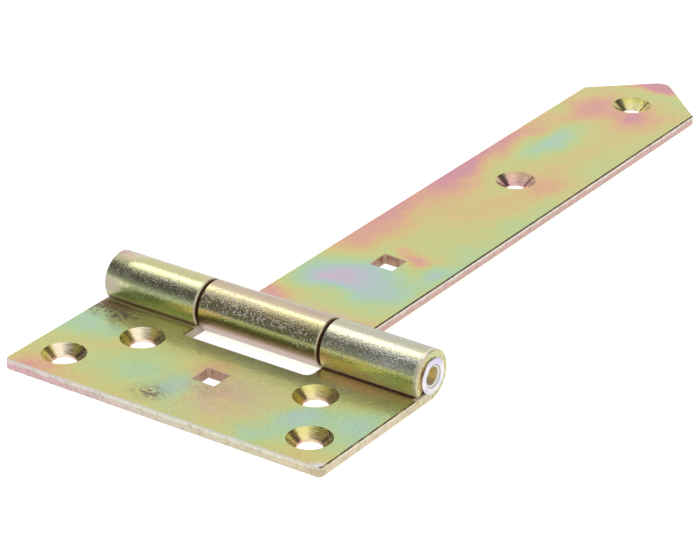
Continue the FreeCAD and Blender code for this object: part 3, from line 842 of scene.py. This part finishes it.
        # The right edge's bevel is painted with a dark reflection, broken by gold.
        golden = self.ease(self.noise(self.where, 2.5, 3, 0.6), 0.42, 0.62)
        edge_reflection_tint = self.mix(golden, screen(RIGHT_EDGE_DARK_REFLECTION), screen(RIGHT_EDGE_GOLD))
        colour = self.mix(self.right_edge, colour, edge_reflection_tint)
        # A thin line of painted shade round the left end of the barrel.
        left_end = self.times(self.rolled, self.ease(self.x, *LEFT_END_SHADE_LINE_AT))
        return self.paint(colour, self.times(left_end, 0.9), LEFT_END_SHADE_LINE)

    def countersinks(self, colour):
        """The countersinks: film by height, a painted cream highlight far left, painted shade about the axis,
        tool marks.
        """
        up = self.times(self.z, 1 / PLATE)
        near_film, far_film = (self.ramp(up, stops) for stops in self.look["sink_colours"])
        film = self.mix(self.math("GREATER_THAN", self.y, BETWEEN_STRAP_SINKS), near_film, far_film)
        part = self.parts(self.about_sink)
        swing = self.math("ARCTAN2", part["Y"], part["X"])
        # A painted cream highlight on the countersinks' far-left walls.
        cream = self.times(self.ease_angle(swing, *SINK_HIGHLIGHT_FROM), self.ease_angle(swing, *SINK_HIGHLIGHT_TO))
        sink_highlight_colour = self.mix(self.on_right, screen(LEFT_SINK_HIGHLIGHT), screen(RIGHT_SINK_HIGHLIGHT))
        film = self.mix(self.times(cream, self.by_side(self.look["cream"])), film, sink_highlight_colour)
        # Painted shade by the angle about each countersink's axis.
        shades = [((angle + 180) / 360, shade) for angle, shade in self.look["sink_shades"]]
        shade = self.ramp(self.math("MULTIPLY_ADD", swing, 0.5 / math.pi, 0.5), shades, "LINEAR")
        film = self.vector("MULTIPLY", film, shade)
        self.find_tool_marks(swing)
        marked = self.ease(self.tool_marks, 0.46, 0.58, 0.0, self.look["tool_marks"])
        film = self.paint(film, self.times(marked, self.sideways), TOOL_MARK)
        return self.mix(self.in_sink, colour, film)

    def find_tool_marks(self, swing):
        """Turned rings about a countersink's axis, and how much they show on its different sides."""
        radius = self.times(self.length(self.about_sink), 5.2)
        rings = self.node("CombineXYZ", {"X": radius, "Y": self.times(swing, 2.6)}).outputs[0]
        self.tool_marks = self.noise(rings, 1.0, 1, 0.5)
        product = self.node("VectorMath", {0: self.about_sink, 1: TOOL_MARK_SIDE}, operation="DOT_PRODUCT")
        sideways = product.outputs["Value"]
        sideways = self.most(sideways, self.times(sideways, -TOOL_MARK_FAR_SHARE))
        self.sideways = self.ease(sideways, 2.4, 4.8, 0.08, 1.0)

    def relief(self):
        """The relief in millimetres: dents, pits, scratches, turned rings, tears and the flared left end."""
        dents = self.noise(self.where, 5.0, 2)
        pits = self.noise(self.where, SPECK_SIZE, 2, 0.6)
        pit_height = self.times(self.speck_share, PIT_HEIGHT, self.rolled)
        pit_height = self.math("ADD", pit_height, PLAIN_PIT_HEIGHT)
        relief = self.math("MULTIPLY_ADD", dents, DENT_HEIGHT, self.times(pits, pit_height))
        relief = self.math("MULTIPLY_ADD", self.marks, SCRATCH_HEIGHT, relief)
        rings = self.times(self.tool_marks, TURNED_RING_HEIGHT, self.in_sink)
        rings = self.times(rings, self.math("MULTIPLY_ADD", self.sideways, 0.7, 0.3))
        relief = self.math("ADD", relief, rings)
        relief = self.math("MULTIPLY_ADD", self.times(self.tears, self.sheared), TEAR_HEIGHT, relief)
        past_start = self.most(self.math("MULTIPLY_ADD", self.x, -1.0, -FLARE_START), 0.0)
        flare = self.times(past_start, past_start, self.times(self.rolled, -FLARE_HEIGHT))
        return self.math("ADD", relief, flare)

    def dullness(self):
        """How much of the bright metal is hidden, by rough or worn places."""
        low_side = self.times(self.ease_angle(self.turn, *LOW_SIDE_TURN), self.rolled)
        belly = self.times(self.ease_angle(self.turn, *BELLY_TURN), self.rolled)
        belly = self.times(belly, self.by_side(self.look["dull_belly"]))
        beside = self.times(self.beside_barrel, self.rest(self.seam_stain_and_light))
        beside = self.times(beside, self.by_side(self.look["dull_beside"]))
        wear = self.math("MULTIPLY_ADD", self.specks, 0.7, self.times(self.marks, 0.8))
        dull = self.most(belly, beside, wear)
        for share, dullness in (
            (low_side, self.look["dull_low_side"]),
            (self.rim_wear_and_highlight, 0.75),
            (self.pale_end, 0.8),
            (self.front_edge, 0.95),
            (self.in_gap, 0.6),
            (self.sheared, self.dull_wall),
            (self.corner_highlight, 0.6),
            (self.seam_line, 0.45),
            (self.seam_stain_and_light, 0.45),
            (self.right_edge, self.look["dull_edge"]),
        ):
            dull = self.most(dull, self.times(share, dullness))
        return dull

    def roughness(self, dull):
        """The roughness: plain on the barrel, cloudy on the plate, and more in dull and worn places."""
        on_plate = self.ease(self.noise(self.where, 6, 3), 0.3, 0.7, 0.16, 0.24)
        on_barrel = self.by_side(self.look["roughness"])
        rough = self.math("ADD", self.times(self.barrel, on_barrel), self.times(self.off_barrel, on_plate))
        for share, more in (
            (dull, 0.25),
            (self.most(self.specks, self.marks), 0.2),
            (self.most(self.sheared, self.end_face), 0.25),
            (self.tarnish_and_reflection, 0.35),
        ):
            rough = self.math("MULTIPLY_ADD", share, more, rough)
        return rough


def bare_zinc(name):
    """Bright zinc on the turned, riveted pin, cream and gold in the drilled ends, with painted shade in dish
    and bore.
    """
    material = bpy.data.materials.new(name)
    graph = Graph(material)
    where = graph.mapped(graph.node("TexCoord").outputs["Object"], PIN, scale=(MM, MM, MM))
    place = graph.parts(where)
    across = graph.length(graph.vector("MULTIPLY", where, (0, 1, 1)))
    depth = graph.math("SUBTRACT", HEAD_FACE, graph.math("ABSOLUTE", place["X"]))
    tint = graph.ease(graph.noise(where, 4.0, 2), 0.30, 0.70)
    colour = graph.mix(tint, screen(HEAD_VIOLET), screen(HEAD_WHITE))
    dished = graph.times(graph.ease(depth, 0.02, 0.2), graph.ease(across, *DISH_SIDE))
    colour = graph.paint(colour, dished, DISH)
    # A thin ring of painted shade at the step of the dish.
    outline = graph.times(dished, graph.ease(across, *DISH_STEP))
    colour = graph.paint(colour, graph.times(outline, 0.85), DISH_SHADE_LINE)
    drilled = graph.times(graph.ease(depth, *DRILL_MOUTH), graph.ease(across, *DRILL_SIDE))
    golden = graph.ease(graph.noise(where, 1.6, 3, 0.6), 0.42, 0.60)
    bore = graph.mix(golden, screen(BORE_CREAM), screen(BORE_GOLD))
    bore = graph.paint(bore, graph.ease(place["Z"], -1.4, -2.3, 0.0, 0.5), BORE_SHADE)
    pits = graph.noise(where, 0.6, 4, 0.65)
    graph.surface({
        "Base Color": graph.mix(drilled, colour, bore),
        "Metallic": graph.math("MULTIPLY_ADD", drilled, -0.8, 1.0),
        "Roughness": graph.ease(pits, 0.3, 0.7, 0.18, 0.34),
        "Normal": graph.bump(pits, 0.05 * MM),
    })
    return material


def dress(node, material):
    """Gives a node of the frame its material."""
    data = frame["nodes"][node].data
    data.materials.clear()
    data.materials.append(material)


def make_camera():
    """The camera, at the height, turn and distance that the fit gives."""
    data = bpy.data.cameras.new("camera")
    data.lens = CAMERA_LENS
    data.sensor_width = CAMERA_SENSOR
    data.sensor_fit = "HORIZONTAL"
    data.clip_start = 0.05
    data.clip_end = 50
    azimuth = math.radians(CAMERA_AZIMUTH)
    elevation = math.radians(CAMERA_ELEVATION)
    back = Vector((math.sin(azimuth) * math.cos(elevation), -math.cos(azimuth) * math.cos(elevation),
                   math.sin(elevation)))
    right = Vector((math.cos(azimuth), math.sin(azimuth), 0))
    axes = Matrix((right, back.cross(right), back)).transposed()
    target = Vector(CAMERA_TARGET) * MM + Vector((PIN.x, PIN.y, 0))
    turned = axes @ Matrix.Rotation(math.radians(CAMERA_ROLL), 3, "Z")
    camera = bpy.data.objects.new("camera", data)
    camera.matrix_world = Matrix.Translation(target + back * CAMERA_DISTANCE * MM) @ turned.to_4x4()
    bpy.context.scene.collection.objects.link(camera)
    bpy.context.scene.camera = camera


def make_world():
    """White where the camera and reflections look, and a plain level of light elsewhere."""
    world = bpy.data.worlds.new("room")
    bpy.context.scene.world = world
    graph = Graph(world)
    path = graph.node("LightPath").outputs
    seen = graph.most(path["Is Camera Ray"], path["Is Glossy Ray"], path["Is Transmission Ray"])
    strength = graph.math("MULTIPLY_ADD", seen, BACKGROUND_STRENGTH - ROOM_STRENGTH, ROOM_STRENGTH)
    background = graph.node("Background", {"Color": WHITE, "Strength": strength})
    graph.node("OutputWorld", {"Surface": background.outputs[0]})


def make_sheet(name, corners, material):
    """A flat four-cornered piece of the studio."""
    data = bpy.data.meshes.new(name)
    data.from_pydata(corners, [], [(0, 1, 2, 3)])
    data.materials.append(material)
    sheet = bpy.data.objects.new(name, data)
    bpy.context.scene.collection.objects.link(sheet)
    return sheet


def corners_of(width, height):
    """The corners of a level rectangle about its own middle."""
    return [(x * width / 2, y * height / 2, 0) for x, y in ((-1, -1), (1, -1), (1, 1), (-1, 1))]


def make_floor():
    """A large plain floor that keeps the shadow, and looks white to the camera and in reflections."""
    material = bpy.data.materials.new("floor")
    graph = Graph(material)
    path = graph.node("LightPath").outputs
    reflected = graph.most(path["Is Glossy Ray"], path["Is Transmission Ray"])
    strength = graph.times(path["Is Camera Ray"], FLOOR_GLOW_SEEN)
    strength = graph.math("MULTIPLY_ADD", reflected, FLOOR_GLOW_REFLECTED, strength)
    paint = graph.node("BsdfDiffuse", {"Color": (FLOOR_PAINT, FLOOR_PAINT, FLOOR_PAINT, 1)})
    glow = graph.node("Emission", {"Color": WHITE, "Strength": strength})
    both = graph.node("AddShader", {0: paint.outputs[0], 1: glow.outputs[0]})
    graph.node("OutputMaterial", {"Surface": both.outputs[0]})
    floor = make_sheet("floor", corners_of(FLOOR_SIZE, FLOOR_SIZE), material)
    floor.location.z = FLOOR_HEIGHT


def strip_lamp():
    """A long lamp over the pin, along it."""
    data = bpy.data.lights.new("overhead_strip", "AREA")
    data.shape = "RECTANGLE"
    data.size, data.size_y = STRIP_SIZE
    data.energy = STRIP_WATTS
    lamp = bpy.data.objects.new("overhead_strip", data)
    x, y, z = STRIP_PLACE
    lamp.location = (PIN.x + x, PIN.y + y, z)
    lamp.rotation_euler.x = -math.atan2(y, z)
    bpy.context.scene.collection.objects.link(lamp)


def reflected_only(name, corners, material):
    """A card of the studio that only reflections see."""
    card = make_sheet(name, corners, material)
    card.visible_camera = False
    card.visible_diffuse = False
    card.visible_shadow = False
    return card


def front_card():
    """An upright dark card in front, lighter towards its upper and lower edges."""
    material = bpy.data.materials.new("front_card")
    graph = Graph(material)
    place = graph.parts(graph.node("TexCoord").outputs["Object"])
    turn = graph.math("ARCTAN2", place["Z"], FRONT_CARD_AWAY)
    lower, upper = (graph.ease_angle(turn, *at, *glows) for at, glows in (FRONT_CARD_LOWER, FRONT_CARD_UPPER))
    graph.glow(WHITE, graph.math("ADD", lower, upper))
    left, right = (PIN.x + x for x in FRONT_CARD_BETWEEN)
    y = PIN.y - FRONT_CARD_AWAY
    low, high = FRONT_CARD_FROM, FRONT_CARD_TO
    corners = [(left, y, low), (right, y, low), (right, y, high), (left, y, high)]
    reflected_only("front_card", corners, material)


def dark_card(name, direction, size, grey):
    """A dark card that faces the pin, in a direction and at a distance from it."""
    material = bpy.data.materials.new(name)
    Graph(material).glow((grey, grey, grey, 1), 1.0)
    azimuth, elevation, distance = direction
    azimuth = math.radians(azimuth)
    elevation = math.radians(elevation)
    flat = math.cos(elevation) * distance
    place = Vector((PIN.x + math.sin(azimuth) * flat, PIN.y + math.cos(azimuth) * flat,
                    math.sin(elevation) * distance))
    card = reflected_only(name, corners_of(*size), material)
    card.location = place
    card.rotation_euler = (Vector((0, PIN.y, 0)) - place).to_track_quat("-Z", "Y").to_euler()


LEAF_LOOK = {
    "patches": LEAF_PATCHES,
    "tarnish": LEAF_TARNISH_AND_REFLECTIONS,
    "grain": 0.24,
    "seam_line": (-6.4, -7.2),
    "seam_stains_and_painted_light": SEAM_STAINS_AND_PAINTED_LIGHT,
    "sinks": LEAF_SINKS,
    "sink_colours": (LEAF_SINK_COLOURS, LEAF_SINK_COLOURS),
    "sink_shades": LEAF_SINK_SHADES,
    "cream": (0.85, 0.45),
    "tool_marks": 0.85,
    "skins_and_painted_bands": (LEFT_SKIN_AND_PAINTED_BANDS, RIGHT_SKIN_AND_PAINTED_BANDS),
    "knuckle_patches_and_painted_light": LEAF_KNUCKLE_PATCHES_AND_PAINTED_LIGHT,
    "lip": 0.7,
    "pale_ends": LEAF_PALE_ENDS,
    "rims": LEAF_RIMS,
    "specks": (0.75, 1.00),
    "scratched": [],
    "upper_band": LEAF_UPPER_BAND,
    "lower_band": LEAF_LOWER_BAND,
    "walls": LEAF_WALLS,
    "far_corner": (-3.65, -22.55),
    "roughness": (0.13, 0.17),
    "dull_belly": (0.28, 0.65),
    "dull_beside": (0.34, 0.16),
    "dull_low_side": 0.9,
    "dull_edge": 0.30,
}
STRAP_LOOK = {
    "patches": STRAP_PATCHES,
    "tarnish": STRAP_TARNISH,
    "grain": 0.16,
    "seam_line": (0.0, 0.0),
    "seam_stains_and_painted_light": [],
    "sinks": STRAP_SINKS,
    "sink_colours": (NEAR_SINK_COLOURS, FAR_SINK_COLOURS),
    "sink_shades": STRAP_SINK_SHADES,
    "cream": (0.0, 0.0),
    "tool_marks": 0.5,
    "skins_and_painted_bands": (MIDDLE_SKIN_AND_PAINTED_BANDS, MIDDLE_SKIN_AND_PAINTED_BANDS),
    "knuckle_patches_and_painted_light": STRAP_KNUCKLE_PATCHES_AND_PAINTED_LIGHT,
    "lip": 0.0,
    "pale_ends": [],
    "rims": STRAP_RIMS,
    "specks": (0.80, 0.80),
    "scratched": STRAP_SCRATCHED,
    "upper_band": STRAP_UPPER_BAND,
    "lower_band": STRAP_LOWER_BAND,
    "walls": STRAP_WALLS,
    "far_corner": (-3.8, 57.5),
    "roughness": (0.13, 0.13),
    "dull_belly": (0.0, 0.0),
    "dull_beside": (0.0, 0.0),
    "dull_low_side": 0.0,
    "dull_edge": 0.0,
}
dress("cross_leaf", PlatedSteel("plated_cross_leaf", LEAF_LOOK).material)
dress("strap_leaf", PlatedSteel("plated_strap", STRAP_LOOK).material)
dress("hinge_pin", bare_zinc("bare_pin"))
make_camera()
make_world()
make_floor()
strip_lamp()
front_card()
for card_details in DARK_CARDS:
    dark_card(*card_details)

bpy.context.scene.view_settings.view_transform = "Standard"
